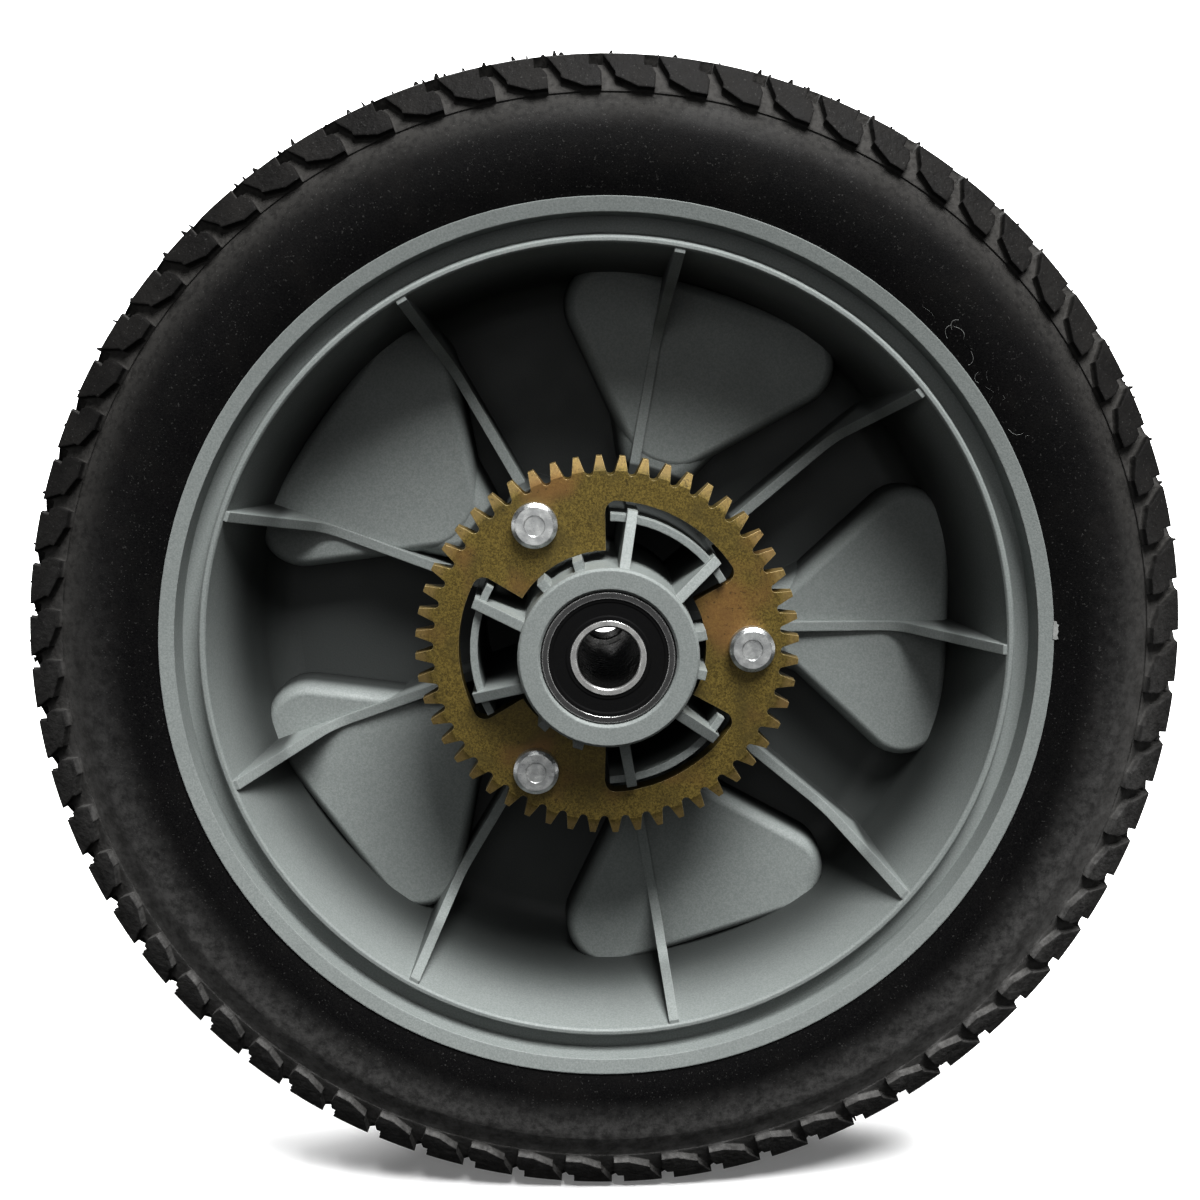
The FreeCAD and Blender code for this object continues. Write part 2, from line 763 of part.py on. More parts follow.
def make_bolt_master():
    """A round-head bolt with a square neck, on the axle line."""
    body = new_body("bolt_master")
    top = f"{GEAR_FACE} - bolt_head_height"
    end = f"({WEB_BACK} + nut_height + bolt_end)"
    sketch = section(body, "bolt_section")
    outline(sketch, [
        ("0", f"{top} + bolt_mark_depth"),
        ("bolt_mark_radius", f"{top} + bolt_mark_depth"),
        ("bolt_mark_radius", top),
        ("bolt_head_radius - bolt_head_bevel", top),
        ("bolt_head_radius", f"{top} + bolt_head_bevel_height"),
        ("bolt_head_radius", GEAR_FACE),
        ("bolt_radius", GEAR_FACE),
        ("bolt_radius", f"{end} - bolt_end_chamfer"),
        ("bolt_radius - bolt_end_chamfer", end),
        ("0", end),
    ])
    revolve(body, sketch, "bolt_turned")
    half = "bolt_neck_width / 2"
    sketch = face_view(body, "neck_outline", f"{GEAR_BACK} - bolt_clearance")
    outline(sketch, [
        (half, half),
        (f"-{half}", half),
        (f"-{half}", f"-{half}"),
        (half, f"-{half}"),
    ])
    neck = extrude(body, sketch, "neck", "gear_thickness - bolt_clearance / 2")
    body.Tip = neck
    return body


def make_nut_master():
    """A hexagon flange nut against the web's outer face, on the axle line."""
    body = new_body("nut_master")
    sketch = section(body, "nut_flange_section")
    hole = "(bolt_radius + bolt_clearance / 4)"
    outline(sketch, [
        (hole, WEB_BACK),
        ("nut_flange_radius", WEB_BACK),
        ("nut_flange_radius", f"{WEB_BACK} + nut_flange_height / 2"),
        ("nut_across_flats / 2", f"{WEB_BACK} + nut_flange_height"),
        (hole, f"{WEB_BACK} + nut_flange_height"),
    ])
    revolve(body, sketch, "nut_flange")
    sketch = face_view(body, "nut_hexagon_outline", f"{WEB_BACK} + nut_flange_height / 2")
    outline(sketch, [polar("nut_across_flats / sqrt(3)", str(60 * side)) for side in range(6)])
    circle(sketch, "0", "0", hole)
    hexagon = extrude(body, sketch, "nut_hexagon", "nut_height - nut_flange_height / 2", away=True)
    body.Tip = hexagon
    return body


def make_bolt_group(label, master):
    """Copies of one fastener on the gear's bolt circle."""
    count = int(value("bolt_count"))
    radius = value("bolt_circle_radius")
    copies = []
    for number in range(count):
        copy = master.Shape.copy()
        copy.translate(Vector(radius, 0, 0))
        copy.rotate(Vector(0, 0, 0), Vector(0, 1, 0), -360 / count * number)
        copies.append(copy)
    group = doc.addObject("Part::Feature", label)
    group.Shape = Part.makeCompound(copies)
    return group


# Bearings

class Bearing:
    """The sizes of one bearing as expressions, about its own middle."""

    def __init__(self, side, middle):
        self.side = side
        self.middle = middle
        self.bore = f"{side}_bore_radius"
        self.outer = f"{side}_outer_radius"
        self.half = f"({side}_width / 2)"
        self.ball = f"{side}_ball_radius"
        self.count = f"{side}_ball_count"
        self.pitch = f"(({self.bore} + {self.outer}) / 2)"
        self.groove = f"({self.ball} * race_openness)"
        self.inner_land = f"({self.pitch} - {self.ball} - race_clearance + race_depth)"
        self.outer_land = f"({self.pitch} + {self.ball} + race_clearance - race_depth)"
        self.race_half = f"sqrt({self.groove} ^ 2 - ({self.groove} - race_depth) ^ 2)"
        self.inner_edge = f"({self.bore} + {side}_inner_edge_width)"
        self.outer_edge = f"({self.outer} - {side}_outer_edge_width)"
        self.step = f"({self.half} - seal_setback - seal_thickness - seal_room)"

    def body(self, piece):
        body = new_body(f"{self.side}_{piece}")
        tie(body, "Placement.Base.y", self.middle)
        return body


def make_inner_ring(bearing):
    body = bearing.body("inner_ring")
    sketch = section(body, f"{bearing.side}_inner_section")
    outline(sketch, [
        (bearing.inner_land, f"-{bearing.step}"),
        (bearing.inner_edge, f"-{bearing.step}"),
        (bearing.inner_edge, f"-{bearing.half}"),
        (f"{bearing.bore} + ring_chamfer", f"-{bearing.half}"),
        (bearing.bore, f"ring_chamfer - {bearing.half}"),
        (bearing.bore, f"{bearing.half} - ring_chamfer"),
        (f"{bearing.bore} + ring_chamfer", bearing.half),
        (bearing.inner_edge, bearing.half),
        (bearing.inner_edge, bearing.step),
        (bearing.inner_land, bearing.step),
        (bearing.inner_land, bearing.race_half),
        (bearing.inner_land, f"-{bearing.race_half}", bearing.groove, -1),
    ])
    revolve(body, sketch, f"{bearing.side}_inner_turned")
    return body


def make_outer_ring(bearing):
    body = bearing.body("outer_ring")
    sketch = section(body, f"{bearing.side}_outer_section")
    outline(sketch, [
        (bearing.outer_land, bearing.step),
        (bearing.outer_edge, bearing.step),
        (bearing.outer_edge, bearing.half),
        (f"{bearing.outer} - ring_chamfer", bearing.half),
        (bearing.outer, f"{bearing.half} - ring_chamfer"),
        (bearing.outer, f"ring_chamfer - {bearing.half}"),
        (f"{bearing.outer} - ring_chamfer", f"-{bearing.half}"),
        (bearing.outer_edge, f"-{bearing.half}"),
        (bearing.outer_edge, f"-{bearing.step}"),
        (bearing.outer_land, f"-{bearing.step}"),
        (bearing.outer_land, f"-{bearing.race_half}"),
        (bearing.outer_land, bearing.race_half, bearing.groove, -1),
    ])
    revolve(body, sketch, f"{bearing.side}_outer_turned")
    return body


def make_seal(bearing, piece, direction):
    """A rubber seal held in the outer ring, with a thin lip beside the inner ring."""
    body = bearing.body(piece)
    name = f"{bearing.side}_{piece}"
    face = f"({bearing.half} - seal_setback)"
    dish = f"({face} - seal_dish_depth)"
    back = f"({face} - seal_thickness)"
    lip = f"({bearing.inner_edge} + seal_clearance)"
    sketch = section(body, f"{name}_section")
    outline(sketch, [
        (lip, f"{direction} * {face}"),
        (f"{lip} + seal_bead_width", f"{direction} * {face}"),
        (f"{lip} + seal_bead_width + seal_dish_slope", f"{direction} * {dish}"),
        (f"{bearing.outer_edge} - seal_bead_width - seal_dish_slope", f"{direction} * {dish}"),
        (f"{bearing.outer_edge} - seal_bead_width", f"{direction} * {face}"),
        (bearing.outer_edge, f"{direction} * {face}"),
        (bearing.outer_edge, f"{direction} * {back}"),
        (lip, f"{direction} * {back}"),
    ])
    revolve(body, sketch, f"{name}_turned")
    return body


def make_balls(bearing):
    """The ring of balls, one node of separate solids."""
    count = int(value(bearing.count))
    balls = []
    for number in range(count):
        ball = doc.addObject("Part::Sphere", f"{bearing.side}_ball_{number + 1}")
        angle = f"(360 / {bearing.count} * {number} * 1 deg)"
        tie(ball, "Radius", bearing.ball)
        tie(ball, "Placement.Base.x", f"{bearing.pitch} * cos{angle}")
        tie(ball, "Placement.Base.z", f"{bearing.pitch} * sin{angle}")
        tie(ball, "Placement.Base.y", bearing.middle)
        balls.append(ball)
    group = doc.addObject("Part::Compound", f"{bearing.side}_balls")
    group.Links = balls
    return group


def make_cage_half(bearing, piece, turned):
    """One pressed ribbon of the cage, waved round the balls."""
    body = bearing.body(piece)
    name = f"{bearing.side}_{piece}"
    if turned:
        body.Placement = Placement(body.Placement.Base, Rotation(Vector(1, 0, 0), 180))
        tie(body, "Placement.Base.y", bearing.middle)
    band_in = f"({bearing.pitch} - cage_half_band)"
    band_out = f"({bearing.pitch} + cage_half_band)"

    sketch = section(body, f"{name}_band")
    outline(sketch, [
        (band_in, "0"),
        (band_out, "0"),
        (band_out, "-cage_thickness"),
        (band_in, "-cage_thickness"),
    ])
    revolve(body, sketch, f"{name}_ribbon")

    def wave(part, radius, margin, kind):
        """A round wave along the radius at each ball, past the ribbon by a margin."""
        sketch = new_sketch(body, "YZ_Plane", f"{name}_{part}_outline")
        tie(sketch, "AttachmentOffset.Base.z", f"{band_in} - {margin}")
        circle(sketch, "0", "0", radius)
        length = f"2 * (cage_half_band + {margin})"
        feature = extrude(body, sketch, f"{name}_{part}", length, kind=kind, away=kind == "Pocket")
        return repeat(body, [feature], f"{name}_{part}s", bearing.count)

    wave("crest", f"{bearing.ball} + cage_clearance + cage_thickness", "0", "Pad")
    beyond = f"{bearing.ball} * 2"
    sketch = section(body, f"{name}_trim_outline")
    outline(sketch, [
        (f"{band_out} + {beyond}", "0"),
        (f"{band_in} - {beyond}", "0"),
        (f"{band_in} - {beyond}", beyond),
        (f"{band_out} + {beyond}", beyond),
    ])
    revolve(body, sketch, f"{name}_trim", kind="Groove")
    wave("seat", f"{bearing.ball} + cage_clearance", "cage_half_band", "Pocket")

    sketch = face_view(body, f"{name}_hole_outline", "0")
    across, up = polar(bearing.pitch, f"180 / {bearing.count}")
    circle(sketch, across, up, "rivet_radius + rivet_clearance")
    hole = extrude(body, sketch, f"{name}_hole", "cage_thickness", kind="Pocket", away=True)
    repeat(body, [hole], f"{name}_holes", bearing.count)
    return body


def make_cage_rivets(bearing):
    """The rivets between the balls that hold the two ribbons together."""
    master = new_body(f"{bearing.side}_rivet_master")
    sketch = section(master, f"{bearing.side}_rivet_section")
    seat = "(cage_thickness + rivet_clearance)"
    outline(sketch, [
        ("0", f"-({seat} + rivet_head_height)"),
        ("rivet_head_flat", f"-({seat} + rivet_head_height)"),
        ("rivet_head_radius", f"-{seat}"),
        ("rivet_radius", f"-{seat}"),
        ("rivet_radius", seat),
        ("rivet_head_radius", seat),
        ("rivet_head_flat", f"{seat} + rivet_head_height"),
        ("0", f"{seat} + rivet_head_height"),
    ])
    revolve(master, sketch, f"{bearing.side}_rivet_turned")
    doc.recompute()
    count = int(value(bearing.count))
    copies = []
    for number in range(count):
        copy = master.Shape.copy()
        copy.translate(Vector(value(bearing.pitch), value(bearing.middle), 0))
        copy.rotate(Vector(0, 0, 0), Vector(0, 1, 0), 360 / count * (number + 0.5))
        copies.append(copy)
    group = doc.addObject("Part::Feature", f"{bearing.side}_cage_rivets")
    group.Shape = Part.makeCompound(copies)
    return group


def make_bearing(side, middle):
    bearing = Bearing(side, middle)
    return [
        make_outer_ring(bearing),
        make_inner_ring(bearing),
        make_balls(bearing),
        make_cage_half(bearing, "cage_front", False),
        make_cage_half(bearing, "cage_back", True),
        make_cage_rivets(bearing),
        make_seal(bearing, "front_seal", -1),
        make_seal(bearing, "back_seal", 1),
    ]


# Spacer

def make_bearing_spacer():
    """The tube between the two inner rings."""
    body = new_body("bearing_spacer")
    first = f"({INBOARD_MIDDLE} + inboard_width / 2)"
    last = f"({OUTBOARD_MIDDLE} - outboard_width / 2)"
    sketch = section(body, "spacer_section")
    outline(sketch, [
        ("spacer_bore_radius", first),
        ("spacer_radius", first),
        ("spacer_radius", last),
        ("spacer_bore_radius", last),
    ])
    revolve(body, sketch, "spacer_turned")
    return body


# Build, check and write

bolt_master = make_bolt_master()
nut_master = make_nut_master()
tyre_casing = make_tyre_casing()
sub_parts = [make_wheel_moulding(), make_drive_gear(), make_bearing_spacer()]
sub_parts += make_bearing("inboard", INBOARD_MIDDLE)
sub_parts += make_bearing("outboard", OUTBOARD_MIDDLE)
doc.recompute()
sub_parts.append(make_tyre(tyre_casing))
sub_parts.append(make_bolt_group("gear_bolts", bolt_master))
sub_parts.append(make_bolt_group("gear_nuts", nut_master))
doc.recompute()

for item in doc.Objects:
    if "Invalid" in item.State or "Error" in item.State:
        raise RuntimeError(f"{item.Label} failed: {item.State}")
for item in sub_parts:
    if item.Shape.isNull() or not item.Shape.isValid():
        raise RuntimeError(f"{item.Label} has no valid shape")

os.makedirs("parts", exist_ok=True)
for item in sub_parts:
    item.Shape.exportStep(os.path.join("parts", f"{item.Label}.step"))
    print(item.Label, len(item.Shape.Solids), round(item.Shape.Volume, 1))
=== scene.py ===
import math

import bmesh
import bpy
from mathutils import Matrix, Vector


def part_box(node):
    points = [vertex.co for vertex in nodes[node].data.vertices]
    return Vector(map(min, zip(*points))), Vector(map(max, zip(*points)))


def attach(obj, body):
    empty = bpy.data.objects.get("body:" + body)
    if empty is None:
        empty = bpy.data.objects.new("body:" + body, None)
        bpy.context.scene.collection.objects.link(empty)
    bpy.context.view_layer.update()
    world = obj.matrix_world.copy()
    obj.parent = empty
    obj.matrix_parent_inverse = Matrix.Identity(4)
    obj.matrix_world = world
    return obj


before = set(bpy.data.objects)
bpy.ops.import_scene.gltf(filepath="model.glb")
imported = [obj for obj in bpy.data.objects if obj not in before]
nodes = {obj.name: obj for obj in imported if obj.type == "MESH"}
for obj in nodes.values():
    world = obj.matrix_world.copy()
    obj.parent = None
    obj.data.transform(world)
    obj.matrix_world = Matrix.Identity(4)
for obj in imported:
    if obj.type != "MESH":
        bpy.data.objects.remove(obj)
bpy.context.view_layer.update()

# Looks of a mower drive wheel: grey ribbed moulding, grooved tyre, bolted gear and sealed bearings.
# Lengths are in metres, the wheel turns about Y, and the gear side faces -Y.

MM = 0.001

# Places read from the frame
TYRE_LOW, TYRE_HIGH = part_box("tyre")
TYRE_RADIUS = (TYRE_HIGH.z - TYRE_LOW.z) / 2
FLOOR_HEIGHT = TYRE_LOW.z

# The tread's shoulder: its lowest lug radius, and its face as a line from width to radius
TREAD_FOOT = 139 * MM
SHOULDER_SLOPE = math.tan(math.radians(31))
SHOULDER_START = 113.31 * MM
# Depth below the lug face at which a groove's floor starts, and at which it is all floor
GROOVE_DEPTHS = (1.0 * MM, 2.2 * MM)

# The plain wall of the tyre, as the radii where it grows, is whole, fades and is gone
WALL_BAND = (124 * MM, 128 * MM, 141 * MM, 142.2 * MM)

# Where shade is painted on the moulding, darkening its recesses: depths along the axle, bands of radius,
# and the share at its darkest
VALLEY_DEPTHS = (11 * MM, 18 * MM)
VALLEY_PAINTED_SHADE = 0.9
BARREL_DEPTHS = (-26 * MM, 8 * MM)
BARREL_BAND = (91 * MM, 95 * MM, 106 * MM, 107 * MM)
BARREL_PAINTED_SHADE = 0.9
TOWER_DEPTHS = (-21 * MM, -8 * MM)
TOWER_BAND = (23.5 * MM, 24 * MM, 46 * MM, 47 * MM)
TOWER_PAINTED_SHADE = 0.92
# Depths between which the painted shade ends, so that the outboard side has none
WEB_BACK = (25 * MM, 26 * MM)


# Material building

class Finish:
    """One procedural material, built socket by socket."""

    def __init__(self, name, **constants):
        self.material = bpy.data.materials.new(name)
        self.material.use_nodes = True
        self.tree = self.material.node_tree
        self.shader = self.tree.nodes["Principled BSDF"]
        for socket, value in constants.items():
            self.shader.inputs[socket.replace("_", " ")].default_value = value
        self.place = self.node("TexCoord").outputs["Object"]

    def node(self, kind, **settings):
        made = self.tree.nodes.new(f"ShaderNode{kind}")
        for name, value in settings.items():
            setattr(made, name, value)
        return made

    def feed(self, socket, value):
        """Link an output to a socket, or set the socket's own number."""
        if isinstance(value, bpy.types.NodeSocket):
            self.tree.links.new(value, socket)
        else:
            socket.default_value = value

    def noise(self, size, detail=2.0, roughness=0.5, stretch=None):
        """Noise whose features are about a size in metres."""
        made = self.node("TexNoise")
        place = self.place
        if stretch:
            mapping = self.node("Mapping")
            mapping.inputs["Scale"].default_value = stretch
            self.feed(mapping.inputs["Vector"], place)
            place = mapping.outputs["Vector"]
        self.feed(made.inputs["Vector"], place)
        made.inputs["Scale"].default_value = 1 / size
        made.inputs["Detail"].default_value = detail
        made.inputs["Roughness"].default_value = roughness
        return made.outputs["Fac"]

    def radius(self):
        """Distance from the wheel's axle."""
        split = self.node("SeparateXYZ")
        self.feed(split.inputs["Vector"], self.place)
        flat = self.node("CombineXYZ")
        self.feed(flat.inputs["X"], split.outputs["X"])
        self.feed(flat.inputs["Y"], split.outputs["Z"])
        length = self.node("VectorMath", operation="LENGTH")
        self.feed(length.inputs[0], flat.outputs["Vector"])
        return length.outputs["Value"]

    def depth(self):
        """Place along the axle."""
        split = self.node("SeparateXYZ")
        self.feed(split.inputs["Vector"], self.place)
        return split.outputs["Y"]

    def groove_floor(self, radius):
        """Share of tread groove, 1 on a groove's floor and 0 on the lugs."""
        height = self.math("ABSOLUTE", self.depth())
        face = self.math("MULTIPLY_ADD", radius, -SHOULDER_SLOPE)
        face.node.inputs[2].default_value = SHOULDER_START
        below = self.math("SUBTRACT", face, height)
        within = self.math("SUBTRACT", TYRE_RADIUS, radius)
        return self.ramp(self.math("MINIMUM", below, within), *GROOVE_DEPTHS)

    def ramp(self, value, low, high, start=0.0, end=1.0, smooth=True):
        """Carry a value from one range to another, held at both ends."""
        made = self.node("MapRange", interpolation_type="SMOOTHSTEP" if smooth else "LINEAR")
        self.feed(made.inputs["Value"], value)
        for name, number in (("From Min", low), ("From Max", high), ("To Min", start), ("To Max", end)):
            made.inputs[name].default_value = number
        return made.outputs["Result"]

    def band(self, value, start, full, fade, end):
        """Share of a band, which grows from start to full and is gone again from fade to end."""
        return self.math("MULTIPLY", self.ramp(value, start, full), self.ramp(value, fade, end, 1.0, 0.0))

    def math(self, operation, first, second=0.0):
        made = self.node("Math", operation=operation)
        self.feed(made.inputs[0], first)
        self.feed(made.inputs[1], second)
        return made.outputs["Value"]

    def blend(self, share, first, second, mode="MIX"):
        """Mix two colours by a share."""
        made = self.node("Mix", data_type="RGBA", blend_type=mode)
        self.feed(made.inputs["Factor"], share)
        self.feed(made.inputs["A"], first)
        self.feed(made.inputs["B"], second)
        return made.outputs["Result"]

    def colour(self, value):
        self.feed(self.shader.inputs["Base Color"], value)

    def gloss(self, value):
        self.feed(self.shader.inputs["Roughness"], value)

    def rounded(self, radius):
        """Normals of the surface with its edges rounded."""
        made = self.node("Bevel", samples=4)
        made.inputs["Radius"].default_value = radius
        return made.outputs["Normal"]

    def edges(self, radius, low=0.02, high=0.2):
        """Share of edge, 1 on an edge and 0 on a flat face."""
        between = self.node("VectorMath", operation="DOT_PRODUCT")
        self.feed(between.inputs[0], self.rounded(radius))
        self.feed(between.inputs[1], self.node("NewGeometry").outputs["Normal"])
        return self.ramp(self.math("SUBTRACT", 1.0, between.outputs["Value"]), low, high)

    def between(self, share, first, second):
        """Mix two ways a surface faces by a share."""
        made = self.node("Mix", data_type="VECTOR")
        self.feed(made.inputs[0], share)
        self.feed(made.inputs[4], first)
        self.feed(made.inputs[5], second)
        return made.outputs[1]

    def relief(self, *layers, rounding=None):
        """Bump from (height, depth in metres) layers, on edges rounded by a radius or already found."""
        normal = self.rounded(rounding) if isinstance(rounding, float) else rounding
        for height, depth in layers:
            bump = self.node("Bump")
            bump.inputs["Distance"].default_value = depth
            self.feed(bump.inputs["Height"], height)
            if normal is not None:
                self.feed(bump.inputs["Normal"], normal)
            normal = bump.outputs["Normal"]
        self.feed(self.shader.inputs["Normal"], normal)


def rgb(red, green, blue):
    """A colour as a shader socket takes it."""
    return (red, green, blue, 1.0)


def grey_moulding(name, barrel_painted_shade):
    """Grained grey plastic, with painted highlights on its edges, and painted shade deep in the valleys,
    down the barrel and round the hub tower.
    """
    finish = Finish(name, Specular_IOR_Level=0.3)
    grain = finish.noise(0.5 * MM, detail=3.0, roughness=0.7)
    cloud = finish.noise(18 * MM, detail=4.0)
    shade = finish.blend(finish.ramp(grain, 0.3, 0.7), rgb(0.205, 0.224, 0.218), rgb(0.275, 0.294, 0.286))
    shade = finish.blend(finish.ramp(cloud, 0.35, 0.75, 0.0, 0.25), shade, rgb(0.19, 0.205, 0.2))
    # Painted highlight: the edges are lighter, where light catches them.
    shade = finish.blend(finish.math("MULTIPLY", finish.edges(0.5 * MM), 0.3), shade, rgb(0.38, 0.4, 0.39))
    depth = finish.depth()
    radius = finish.radius()
    # Painted shade: the moulding darkens deep in the valleys, down the barrel and round the hub tower,
    # where shadow falls.
    valley = finish.math("MULTIPLY", finish.ramp(depth, *VALLEY_DEPTHS), VALLEY_PAINTED_SHADE)
    within = finish.band(radius, *BARREL_BAND)
    barrel = finish.math("MULTIPLY", finish.ramp(depth, *BARREL_DEPTHS, 0.0, barrel_painted_shade), within)
    tower = finish.band(radius, *TOWER_BAND)
    tower = finish.math("MULTIPLY", finish.ramp(depth, *TOWER_DEPTHS, 0.0, TOWER_PAINTED_SHADE), tower)
    painted_shade = finish.math("MAXIMUM", finish.math("MAXIMUM", valley, barrel), tower)
    painted_shade = finish.math("MULTIPLY", painted_shade, finish.ramp(depth, *WEB_BACK, 1.0, 0.0))
    shade = finish.blend(painted_shade, shade, rgb(0.03, 0.033, 0.032))
    finish.colour(shade)
    finish.gloss(finish.ramp(cloud, 0.3, 0.7, 0.48, 0.6))
    finish.relief((grain, 0.05 * MM), (cloud, 0.12 * MM), rounding=0.45 * MM)
    return finish.material


def tyre_rubber():
    """Black rubber: dust on the tread and in its grooves, pale dust patches on the wall painted lighter
    towards the bottom as light from below, and pale specks.
    """
    finish = Finish("tyre_rubber", Specular_IOR_Level=0.1)
    grain = finish.noise(0.45 * MM, detail=3.0, roughness=0.7)
    lumps = finish.noise(1.6 * MM, detail=3.0, roughness=0.6)
    cloud = finish.noise(14 * MM, detail=5.0, roughness=0.6)
    radius = finish.radius()
    tread = finish.ramp(radius, TREAD_FOOT, TREAD_FOOT + 6 * MM)
    dark, pale = rgb(0.0018, 0.0018, 0.0022), rgb(0.0085, 0.0082, 0.0082)
    shade = finish.blend(finish.ramp(grain, 0.35, 0.75), dark, pale)
    shade = finish.blend(finish.ramp(cloud, 0.45, 0.8, 0.0, 0.5), shade, rgb(0.012, 0.011, 0.01))
    dust = finish.math("MULTIPLY", tread, finish.ramp(cloud, 0.3, 0.65, 0.35, 0.8))
    shade = finish.blend(dust, shade, rgb(0.021, 0.02, 0.019))
    sunk = finish.math("MULTIPLY", finish.groove_floor(radius), finish.ramp(lumps, 0.3, 0.6, 0.45, 0.9))
    sunk = finish.math("MULTIPLY", sunk, finish.ramp(radius, 131 * MM, 143 * MM))
    shade = finish.blend(sunk, shade, rgb(0.06, 0.058, 0.055))
    # Painted light: the wall grows lighter towards the bottom, standing in for light from below.
    split = finish.node("SeparateXYZ")
    finish.feed(split.inputs["Vector"], finish.place)
    low = finish.ramp(split.outputs["Z"], 60 * MM, -110 * MM, 0.04, 1.0)
    patches = finish.ramp(finish.noise(3 * MM, detail=6.0, roughness=0.75), 0.3, 0.7, 0.3, 1.0)
    wall_patches = finish.math("MULTIPLY", finish.ramp(radius, 122 * MM, 136 * MM), patches)
    wall_patches = finish.math("MULTIPLY", wall_patches, finish.ramp(radius, 141 * MM, 149 * MM, 1.0, 0.45))
    # Pale dust patches on the wall, lighter towards the bottom as painted light from below.
    shade = finish.blend(finish.math("MULTIPLY", wall_patches, low), shade, rgb(0.14, 0.138, 0.135))
    speck = finish.ramp(finish.noise(0.6 * MM, detail=1.0), 0.67, 0.74, 0.0, 0.5)
    shade = finish.blend(speck, shade, rgb(0.075, 0.074, 0.071))
    finish.colour(shade)
    finish.gloss(finish.ramp(cloud, 0.3, 0.7, 0.52, 0.68))
    rough = finish.math("MULTIPLY", lumps, tread)
    wall = finish.band(radius, *WALL_BAND)
    shape = finish.between(wall, finish.rounded(0.7 * MM), finish.rounded(6 * MM))
    finish.relief((grain, 0.06 * MM), (cloud, 0.2 * MM), (rough, 0.35 * MM), rounding=shape)
    return finish.material


def olive_plating():
    """Yellow-green plating, with a rusty blush, tooth tips and edges lighter from wear and as painted
    highlight, and dark pits.
    """
    finish = Finish("olive_plating", Metallic=0.5)
    grain = finish.noise(0.5 * MM, detail=3.0, roughness=0.75)
    cloud = finish.noise(11 * MM, detail=4.0, roughness=0.6)
    blush = finish.noise(23 * MM, detail=2.0)
    shade = finish.blend(finish.ramp(grain, 0.3, 0.72), rgb(0.085, 0.061, 0.014), rgb(0.25, 0.188, 0.05))
    shade = finish.blend(finish.ramp(cloud, 0.42, 0.72, 0.0, 0.75), shade, rgb(0.10, 0.078, 0.026))
    shade = finish.blend(finish.ramp(blush, 0.52, 0.7, 0.0, 0.5), shade, rgb(0.30, 0.15, 0.06))
    # Tooth tips and edges lighter: partly wear, partly painted highlight.
    tip_wear_and_highlight = finish.ramp(finish.radius(), 46.4 * MM, 49 * MM, 0.0, 0.35)
    shade = finish.blend(tip_wear_and_highlight, shade, rgb(0.4, 0.29, 0.14))
    rubbed_and_highlit = finish.math("MULTIPLY", finish.edges(0.25 * MM), 0.5)
    shade = finish.blend(rubbed_and_highlit, shade, rgb(0.66, 0.57, 0.36))
    pits = finish.ramp(finish.noise(1.1 * MM, detail=3.0, roughness=0.7), 0.6, 0.68, 0.0, 0.6)
    shade = finish.blend(pits, shade, rgb(0.045, 0.034, 0.014))
    finish.colour(shade)
    finish.gloss(finish.ramp(grain, 0.3, 0.7, 0.42, 0.58))
    finish.relief((grain, 0.05 * MM), rounding=0.2 * MM)
    return finish.material


def bright_zinc():
    finish = Finish("bright_zinc", Metallic=0.9)
    grain = finish.noise(0.4 * MM, detail=3.0, roughness=0.7)
    cloud = finish.noise(2.5 * MM, detail=3.0)
    finish.colour(finish.blend(finish.ramp(cloud, 0.35, 0.7), rgb(0.46, 0.47, 0.47), rgb(0.68, 0.69, 0.68)))
    finish.gloss(finish.ramp(grain, 0.3, 0.7, 0.26, 0.4))
    finish.relief((grain, 0.03 * MM), (cloud, 0.05 * MM), rounding=0.3 * MM)
    return finish.material


def ground_steel(name, face, edge, bore_radius=0.0):
    """Ground steel: a face colour, edges brightened as a painted highlight, and painted shade darkening the
    bore inside a radius.
    """
    finish = Finish(name, Metallic=0.75)
    grain = finish.noise(0.8 * MM, detail=3.0, stretch=(0.4, 1.0, 0.4))
    shade = finish.blend(finish.ramp(grain, 0.3, 0.7, 0.0, 0.3), face, rgb(0.05, 0.05, 0.05))
    # Painted highlight: the edges are brighter, where light glints on them.
    shade = finish.blend(finish.math("MULTIPLY", finish.edges(0.45 * MM, 0.01, 0.1), 0.95), shade, edge)
    # Painted shade: the bore is dark, where shadow falls inside it.
    bore_shade = finish.ramp(finish.radius(), bore_radius + 0.05 * MM, bore_radius + 0.3 * MM, 1.0, 0.0)
    finish.colour(finish.blend(bore_shade, shade, rgb(0.035, 0.034, 0.033)))
    finish.gloss(finish.ramp(grain, 0.3, 0.7, 0.22, 0.34))
    finish.relief((grain, 0.008 * MM), rounding=0.25 * MM)
    return finish.material


def pressed_steel():
    finish = Finish("pressed_steel", Metallic=1.0)
    grain = finish.noise(0.6 * MM, detail=3.0)
    finish.colour(finish.blend(grain, rgb(0.38, 0.37, 0.35), rgb(0.58, 0.57, 0.55)))
    finish.gloss(finish.ramp(grain, 0.3, 0.7, 0.3, 0.45))
    return finish.material


def seal_rubber():
    finish = Finish("seal_rubber", Specular_IOR_Level=0.12)
    grain = finish.noise(0.35 * MM, detail=3.0)
    finish.colour(finish.blend(grain, rgb(0.003, 0.003, 0.0035), rgb(0.009, 0.009, 0.009)))
    finish.gloss(finish.ramp(grain, 0.3, 0.7, 0.5, 0.66))
    finish.relief((grain, 0.02 * MM), rounding=0.15 * MM)
    return finish.material


def dress(material, *names):
    """Give a finish to CAD nodes."""
    for name in names:
        mesh = nodes[name].data
        mesh.materials.clear()
        mesh.materials.append(material)


def pale_scuff():
    finish = Finish("pale_scuff", Specular_IOR_Level=0.3, Roughness=0.6)
    cloud = finish.noise(1.5 * MM, detail=2.0)
    finish.colour(finish.blend(cloud, rgb(0.16, 0.165, 0.16), rgb(0.42, 0.43, 0.42)))
    return finish.material


